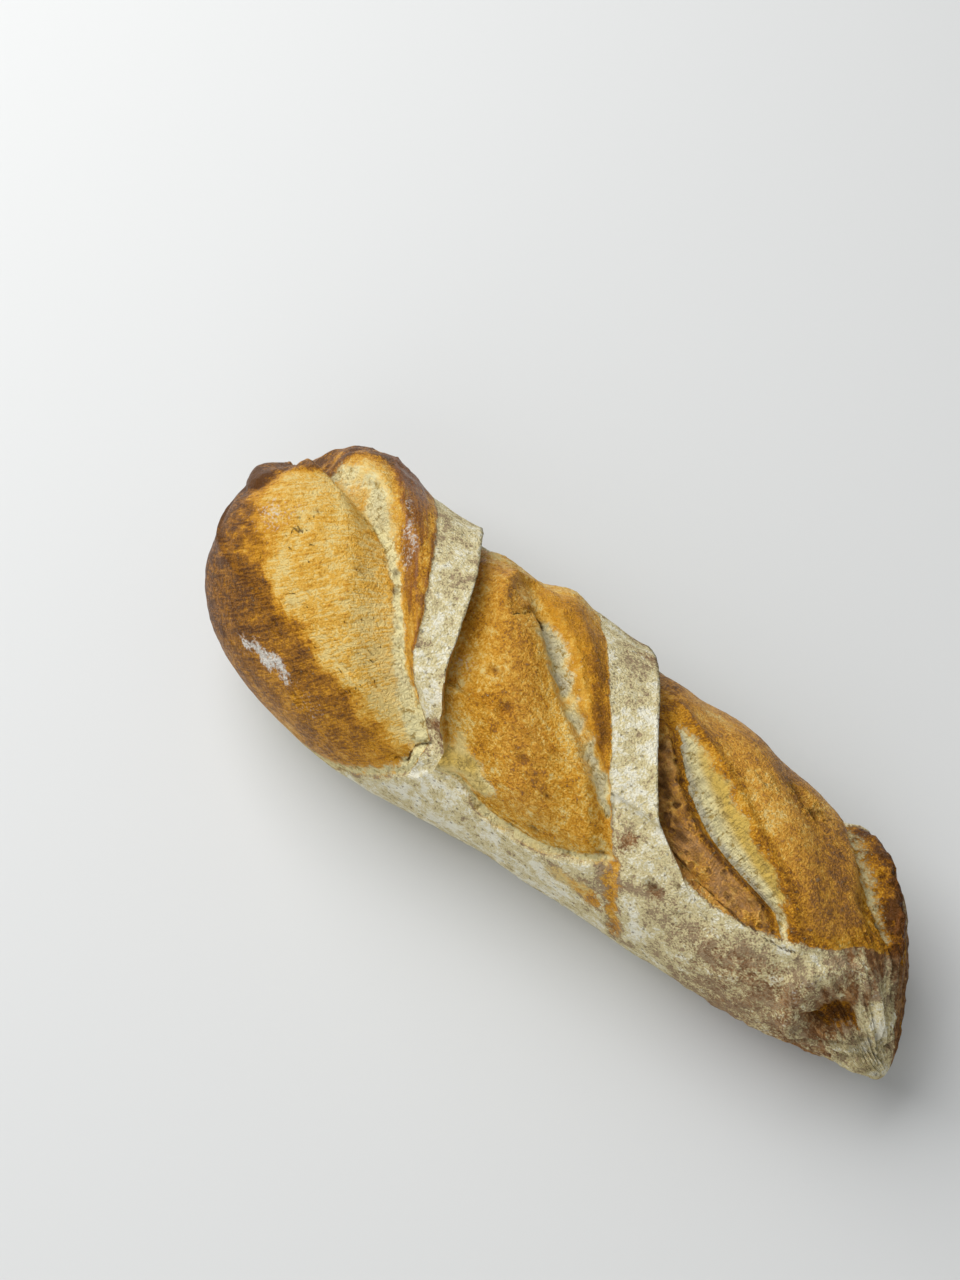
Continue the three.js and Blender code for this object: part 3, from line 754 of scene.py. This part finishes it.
# The points: the body, lifted along its outward direction, with the lips leaning out
STEP = 0.5
inside = np.clip(x, FAR_TIP_X + 4 * STEP, NEAR_TIP_X - 4 * STEP)
ahead = body_point(inside + STEP, angle) - body_point(inside - STEP, angle)
sideways = body_point(inside, angle + STEP) - body_point(inside, angle - STEP)
outward = np.cross(sideways, ahead)
outward /= np.linalg.norm(outward, axis=-1, keepdims=True)
ends = ease(x, FAR_TIP_X, FAR_TIP_X + 3) * (1 - ease(x, NEAR_TIP_X - 3, NEAR_TIP_X))
above_base = 1 - ease(-np.cos(np.radians(angle)), 0.45, 0.8)
points = body + outward * (relief + (fine - 0.5) * ends * above_base)[..., None]
lean_1 = np.exp(np.minimum(x - seam_at(BAND_1_NEAR), 0) / LIP_LEAN_LENGTH) * (1 - wall_1)
lean_2 = np.exp(np.minimum(x - seam_at(BAND_2_NEAR), 0) / LIP_LEAN_LENGTH) * (1 - wall_2)
points[..., 0] += LIP_OVERHANG * opening(angle, BACK_END, 31, 10) * (lean_1 + past_1 * lean_2)


# The knob in millimetres: how far it's drawn out, and the round spot of the tip that it takes
KNOB_LENGTH, KNOB_RADIUS, KNOB_MIDDLE_Y, KNOB_MIDDLE_Z = 4, 7.5, 15, 28


def with_knob(place):
    """The pinched knob at the far tip: a round bump, drawn out along the loaf."""
    from_axis = np.hypot(place[..., 1] - KNOB_MIDDLE_Y, place[..., 2] - KNOB_MIDDLE_Z)
    draw = np.where(place[..., 0] < 0, KNOB_LENGTH * fade(from_axis, KNOB_RADIUS), 0)
    return place - draw[..., None] * np.array([1, 0, 0])


# Both tips close with one point, and the whole is fitted to the solid's own box
points = with_knob(points)
tips = with_knob(body_point(np.array([FAR_TIP_X, NEAR_TIP_X]), np.zeros(2)))
places = np.concatenate([points.reshape(-1, 3), tips])
places[:, 2] = np.maximum(places[:, 2], 0)
places = places / 1000
cad_low, cad_high = (np.array(corner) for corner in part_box("loaf"))
low, high = places.min(0), places.max(0)
places = cad_low + (places - low) / (high - low) * (cad_high - cad_low)


def skin_faces(rings, columns):
    """Four-sided faces between neighbouring rings, and a fan of triangles at each tip."""
    index = np.arange(rings * columns).reshape(rings, columns)
    right = np.roll(index, -1, 1)
    quads = np.stack([index[:-1], right[:-1], right[1:], index[1:]], -1).reshape(-1, 4)
    far_tip, near_tip = rings * columns, rings * columns + 1
    far_fan = np.stack([np.full(columns, far_tip), right[0], index[0]], -1)
    near_fan = np.stack([np.full(columns, near_tip), index[-1], right[-1]], -1)
    return quads.tolist() + far_fan.tolist() + near_fan.tolist()


# The mesh carries the masks, one number a point, and each point's place on the unrolled skin
loaf_mesh = bpy.data.meshes.new("loaf")
loaf_mesh.from_pydata(places, [], skin_faces(*x.shape))
loaf_mesh.polygons.foreach_set("use_smooth", np.ones(len(loaf_mesh.polygons), bool))
MASKS = {
    "flour": flour,
    "old_skin": old_skin,
    "dust_and_highlights": dust_and_highlights,
    "toast": toast,
    "glaze": glaze,
    "stretched": stretched,
    "smooth": strip_2 * ease(-band_2_far, -1, 2),
    "rosy": rosy,
    "bubbly": bubbly,
    "crumb": crumb,
    "grey_and_shade": grey_and_shade,
    "ridged": face_3,
    "pit_shade": pit_shade,
    "crack_gap": crack_gap,
}
for name, values in MASKS.items():
    layer = loaf_mesh.attributes.new(name, "FLOAT", "POINT")
    at_tips = [values[0].mean(), values[-1].mean()]
    layer.data.foreach_set("value", np.append(values.ravel(), at_tips).astype(np.float32))
unrolled = np.concatenate([skin.reshape(-1, 3), [[FAR_TIP_X, 0, 0], [NEAR_TIP_X, 0, 0]]]) / 1000
layer = loaf_mesh.attributes.new("unrolled", "FLOAT_VECTOR", "POINT")
layer.data.foreach_set("vector", unrolled.astype(np.float32).ravel())
loaf = bpy.data.objects.new("crusty_loaf", loaf_mesh)
bpy.context.collection.objects.link(loaf)


class Field:
    """A value, colour or vector that varies over the surface; arithmetic on it adds Math nodes."""

    def __init__(self, tree, socket):
        self.tree, self.socket = tree, socket

    def make(self, kind, settings, inputs, output=0):
        """Adds a node of this kind: its settings first, then its inputs, by name or number."""
        node = self.tree.nodes.new(kind)
        for name, value in settings.items():
            setattr(node, name, value)
        for name, value in inputs.items():
            if isinstance(value, Field):
                self.tree.links.new(value.socket, node.inputs[name])
            else:
                node.inputs[name].default_value = value
        return Field(self.tree, node.outputs[output])

    def math(self, operation, *values):
        return self.make("ShaderNodeMath", {"operation": operation}, dict(enumerate(values)))

    def __add__(self, other):
        return self.math("ADD", self, other)

    def __sub__(self, other):
        return self.math("SUBTRACT", self, other)

    def __rsub__(self, other):
        return self.math("SUBTRACT", other, self)

    def __mul__(self, other):
        return self.math("MULTIPLY", self, other)

    __radd__, __rmul__ = __add__, __mul__

    def step(self, start, end):
        """0 below start and 1 above end, smoothly."""
        settings = {"interpolation_type": "SMOOTHSTEP"}
        return self.make("ShaderNodeMapRange", settings, {0: self, 1: start, 2: end})

    def blend(self, first, second):
        """The first colour where this value is 0, the second where it is 1."""
        inputs = {0: self, 6: first, 7: second}
        return self.make("ShaderNodeMix", {"data_type": "RGBA"}, inputs, 2)

    def noise(self, millimetres, detail=2, coarseness=0.5):
        """Noise of this size on the place that this vector gives."""
        inputs = {
            "Vector": self, "Scale": 1000 / millimetres, "Detail": detail, "Roughness": coarseness
        }
        return self.make("ShaderNodeTexNoise", {}, inputs)

    def cells(self, millimetres):
        """Distance from the nearest of the points scattered one to a cell of this size."""
        inputs = {"Vector": self, "Scale": 1000 / millimetres}
        return self.make("ShaderNodeTexVoronoi", {}, inputs)

    def drawn_out(self, degrees, times):
        """This place turned in the unrolled skin and squeezed, so noise on it is drawn out."""
        angle = (0, 0, -np.radians(degrees))
        turned_place = self.make(
            "ShaderNodeVectorRotate", {"rotation_type": "EULER_XYZ"},
            {"Vector": self, "Rotation": angle}
        )
        inputs = {0: turned_place, 1: (1 / times, 1, 1)}
        return self.make("ShaderNodeVectorMath", {"operation": "MULTIPLY"}, inputs)

    def attribute(self, name):
        return self.make("ShaderNodeAttribute", {"attribute_name": name}, {}, 2)


def opaque(red, green, blue):
    return (red, green, blue, 1)


# The crust's colours, from pale to dark, the crumb's, and the flour's
CREAM = opaque(0.74, 0.55, 0.20)
TAN = opaque(0.71, 0.40, 0.06)
GOLD = opaque(0.56, 0.25, 0.012)
BROWN = opaque(0.28, 0.11, 0.005)
DARK = opaque(0.10, 0.035, 0.004)
RED_BROWN = opaque(0.27, 0.085, 0.006)
CRUMB = opaque(0.76, 0.67, 0.35)
CRUMB_GOLD = opaque(0.62, 0.42, 0.09)
CRUMB_GREY = opaque(0.56, 0.51, 0.35)
CRUMB_SHADE = opaque(0.36, 0.25, 0.07)
FLOUR = opaque(0.68, 0.58, 0.31)
FLOUR_THICK = opaque(0.86, 0.82, 0.66)
FLOUR_THIN = opaque(0.36, 0.26, 0.15)
OLD_SKIN = opaque(0.42, 0.21, 0.07)
OLD_SKIN_DARK = opaque(0.19, 0.085, 0.028)
ROSY = opaque(0.58, 0.32, 0.13)
# Pale dust, also used for painted highlights
DUST_AND_GLINT = opaque(0.66, 0.63, 0.57)
SPECK = opaque(0.15, 0.11, 0.065)
# Painted shade for pits and cracks
PIT_SHADE = opaque(0.09, 0.04, 0.01)

# The crust's one material. First its patterns: noise on the loaf's place, and lines drawn out
# along the unrolled skin
crust = bpy.data.materials.new("crust")
crust.use_nodes = True
shader = crust.node_tree.nodes["Principled BSDF"]
start = Field(crust.node_tree, None)
place = start.make("ShaderNodeTexCoord", {}, {}, 3)
skin_place = start.make("ShaderNodeAttribute", {"attribute_name": "unrolled"}, {}, 1)
across_1 = skin_place.drawn_out(-50, 6)
along_cut = skin_place.drawn_out(48, 9)
mask = {name: start.attribute(name) for name in MASKS}
fine_noise, small_noise = place.noise(0.55, 3), place.noise(1.3, 4)
broad_noise = place.noise(4.5, 8, 0.7)
lines = across_1.noise(0.7, 3) - 0.5
flames = skin_place.drawn_out(-50, 4).noise(2.6, 5, 0.6) - 0.5
cut_lines = along_cut.noise(0.8, 3) - 0.5
fibre = place.noise(2.4, 3) - 0.5
fibres = 1 - fibre.math("ABSOLUTE", fibre).step(0, 0.05)
crumb_cells, speck_cells = place.cells(1.5), place.cells(2.4)
bubble_cells = place.cells(3.1) + (small_noise - 0.5) * 0.7 + (broad_noise - 0.5) * 0.8
bubble_pits = (1 - bubble_cells.step(0.08, 0.36)) * mask["bubbly"]
bubble_rims = bubble_cells.step(0.26, 0.4) * (1 - bubble_cells.step(0.4, 0.6)) * mask["bubbly"]
ridges = (skin_place.drawn_out(-78, 8).noise(1.0, 3) - 0.5) * mask["ridged"]

# From pale to dark as it browns, with a glaze on the ears, a rosy tinge and pale torn crumb
mottled = (broad_noise - 0.5) * 1.3 + (small_noise - 0.5) * 0.8 + (fine_noise - 0.5) * 0.9
brown = mask["toast"] + mottled * (1 - mask["smooth"] * 0.6) * (1 - mask["stretched"] * 0.35)
brown = brown + (lines * 0.7 + flames * 0.6) * mask["stretched"] + cut_lines * mask["glaze"] * 0.9
brown = brown - fibres * (1 - mask["stretched"]) * 0.16 + bubble_pits * 0.4 - bubble_rims * 0.16
crust_colour = brown.step(0.02, 0.26).blend(CREAM, TAN)
crust_colour = brown.step(0.22, 0.5).blend(crust_colour, GOLD)
crust_colour = brown.step(0.48, 0.76).blend(crust_colour, BROWN)
crust_colour = brown.step(0.74, 1.02).blend(crust_colour, DARK)
glazed = (mask["glaze"] + cut_lines * 1.6).step(0.3, 1.0)
crust_colour = (glazed * 0.6).blend(crust_colour, RED_BROWN)
crust_colour = (mask["rosy"] * (small_noise + 0.3)).blend(crust_colour, ROSY)
crumb_tone = (
    (place.noise(2.0, 4) - 0.5) * 1.2 + (fine_noise - 0.5) * 0.9 - crumb_cells * 0.4 + 0.8
    + ridges * 0.4
)
# Gold, cream or grey crumb; the grey on the third cut's face is painted shade
crumb_light = mask["grey_and_shade"].step(-0.9, 0).blend(CRUMB_GOLD, CRUMB)
crumb_light = mask["grey_and_shade"].step(0.1, 1).blend(crumb_light, CRUMB_GREY)
crumb_colour = crumb_tone.step(0.24, 0.6).blend(CRUMB_SHADE, crumb_light)
crumbly = (mask["crumb"] + (small_noise - 0.5) * 0.9 + (fine_noise - 0.5) * 0.6).step(0.22, 0.72)
colour = crumbly.blend(crust_colour, crumb_colour)

# Old skin under the flour, the flour with its specks, then dust with painted highlights, and
# painted shade in the pits and cracks
old_colour = (
    (broad_noise * 0.6 + small_noise * 0.7 - 0.15).step(0.4, 0.62).blend(OLD_SKIN_DARK, OLD_SKIN)
)
colour = (mask["old_skin"] + (small_noise - 0.5) * 0.5).step(0.4, 0.7).blend(colour, old_colour)
powder = (
    (fine_noise - 0.5) * 0.9 + (place.noise(3, 8, 0.72) - 0.5) * 1.7
    + (place.noise(8, 3) - 0.5) * 1.1
)
powder = powder + 0.54 + (mask["flour"] - 1) * 0.45
powder_colour = powder.step(0.25, 0.5).blend(FLOUR_THIN, FLOUR)
powder_colour = powder.step(0.52, 0.86).blend(powder_colour, FLOUR_THICK)
grains = (broad_noise - 0.5) * 0.6 + (small_noise - 0.5) * 1.15 + (fine_noise - 0.5) * 1.1
dusted = (mask["flour"] + grains).step(0.15, 0.8)
specks = (1 - (speck_cells + (fine_noise - 0.5) * 0.5).step(0.1, 0.24)) * 0.6
colour = dusted.blend(colour, specks.blend(powder_colour, SPECK))
# Pale flecks of dust, with painted highlights on the first bloom and its ear
dust_and_glint_flecks = (mask["dust_and_highlights"] + (place.noise(0.8, 4) - 0.5) * 2.8).step(0.5, 1.5)
colour = dust_and_glint_flecks.blend(colour, DUST_AND_GLINT)
# Painted shade: dark in the pits, pores, creases and cracks
colour = (mask["pit_shade"] * 0.75).blend(colour, PIT_SHADE)
cracked = 1 - (mask["crack_gap"] + (fine_noise - 0.5) * 0.6).step(0.12, 0.42)
colour = (cracked * 0.75).blend(colour, PIT_SHADE)

# Flour and crumb are rough, glazed ears a little shiny, and all of it is finely bumpy
roughness = 0.38 + dusted * 0.5 + crumbly * 0.35 + (small_noise - 0.5) * 0.4 - glazed * 0.06
height = (
    fine_noise * 0.9 + small_noise * 0.7 + broad_noise * 1.4 + lines * mask["stretched"] * 0.7
    + cut_lines * mask["glaze"] * 0.6
)
height = height - cracked * 1.2 - crumb_cells * crumbly * 0.8 + fibres * 0.2
height = height + ridges * 1.3 - bubble_pits * 1.2 + bubble_rims * 0.3
bump = start.make("ShaderNodeBump", {}, {"Strength": 0.8, "Distance": 0.001, "Height": height})
links = crust.node_tree.links
links.new(colour.socket, shader.inputs["Base Color"])
links.new(roughness.socket, shader.inputs["Roughness"])
links.new((glazed * 0.22).socket, shader.inputs["Coat Weight"])
links.new(bump.socket, shader.inputs["Normal"])
shader.inputs["Specular IOR Level"].default_value = 0.17
shader.inputs["Coat Roughness"].default_value = 0.25
loaf_mesh.materials.append(crust)

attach(loaf, "root")
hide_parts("loaf")

# The table the loaf lies on: a plain pale board, not part of the loaf
FLOOR_HALF = 1.5
floor_mesh = bpy.data.meshes.new("pale_floor")
signs = [(-1, -1), (1, -1), (1, 1), (-1, 1)]
floor_corners = [(i * FLOOR_HALF, j * FLOOR_HALF, 0) for i, j in signs]
floor_mesh.from_pydata(floor_corners, [], [(0, 1, 2, 3)])
floor = bpy.data.objects.new("pale_floor", floor_mesh)
bpy.context.collection.objects.link(floor)
matte = bpy.data.materials.new("matte_board")
matte.use_nodes = True
board = matte.node_tree.nodes["Principled BSDF"]
board.inputs["Base Color"].default_value = (0.635, 0.64, 0.635, 1)
board.inputs["Roughness"].default_value = 0.9
floor_mesh.materials.append(matte)

# The camera stands over the loaf's front, rolled so that the loaf runs down to the right
CAMERA_RIGHT = Vector((0.751, 0.658, -0.058)).normalized()
CAMERA_BACK = Vector((0.326, -0.292, 0.899))
CAMERA_BACK = (CAMERA_BACK - CAMERA_RIGHT * CAMERA_BACK.dot(CAMERA_RIGHT)).normalized()
CAMERA_UP = CAMERA_BACK.cross(CAMERA_RIGHT)
CAMERA_PLACE = Vector((0.1296, -0.1335, 0.4849))
lens = bpy.data.cameras.new("camera")
lens.lens = 50
lens.sensor_fit = "VERTICAL"
lens.sensor_height = 36
camera = bpy.data.objects.new("camera", lens)
bpy.context.collection.objects.link(camera)
turn = Matrix((CAMERA_RIGHT, CAMERA_UP, CAMERA_BACK)).transposed().to_4x4()
camera.matrix_world = Matrix.Translation(CAMERA_PLACE) @ turn
bpy.context.scene.camera = camera

# Soft studio light: a broad panel above and to the left of the view, and a dim fill
AIM = Vector((0, 0, 0.03))
for name, toward, distance, size, watts in (
    ("key_panel", CAMERA_UP * 0.8 - CAMERA_RIGHT * 0.55 + CAMERA_BACK * 0.5, 1.1, 1.15, 16.8),
    ("fill_panel", CAMERA_BACK * 0.8 - CAMERA_UP * 0.5 - CAMERA_RIGHT * 0.3, 1.1, 0.9, 3.2),
):
    toward = toward.normalized()
    panel = bpy.data.lights.new(name, "AREA")
    panel.energy = watts
    panel.size = size
    lamp = bpy.data.objects.new(name, panel)
    bpy.context.collection.objects.link(lamp)
    lamp.location = AIM + toward * distance
    lamp.rotation_euler = toward.to_track_quat("Z", "Y").to_euler()
world = bpy.data.worlds.new("room")
world.use_nodes = True
world.node_tree.nodes["Background"].inputs["Color"].default_value = (0.95, 0.98, 1, 1)
world.node_tree.nodes["Background"].inputs["Strength"].default_value = 0.27
bpy.context.scene.world = world
bpy.context.scene.view_settings.view_transform = "Standard"
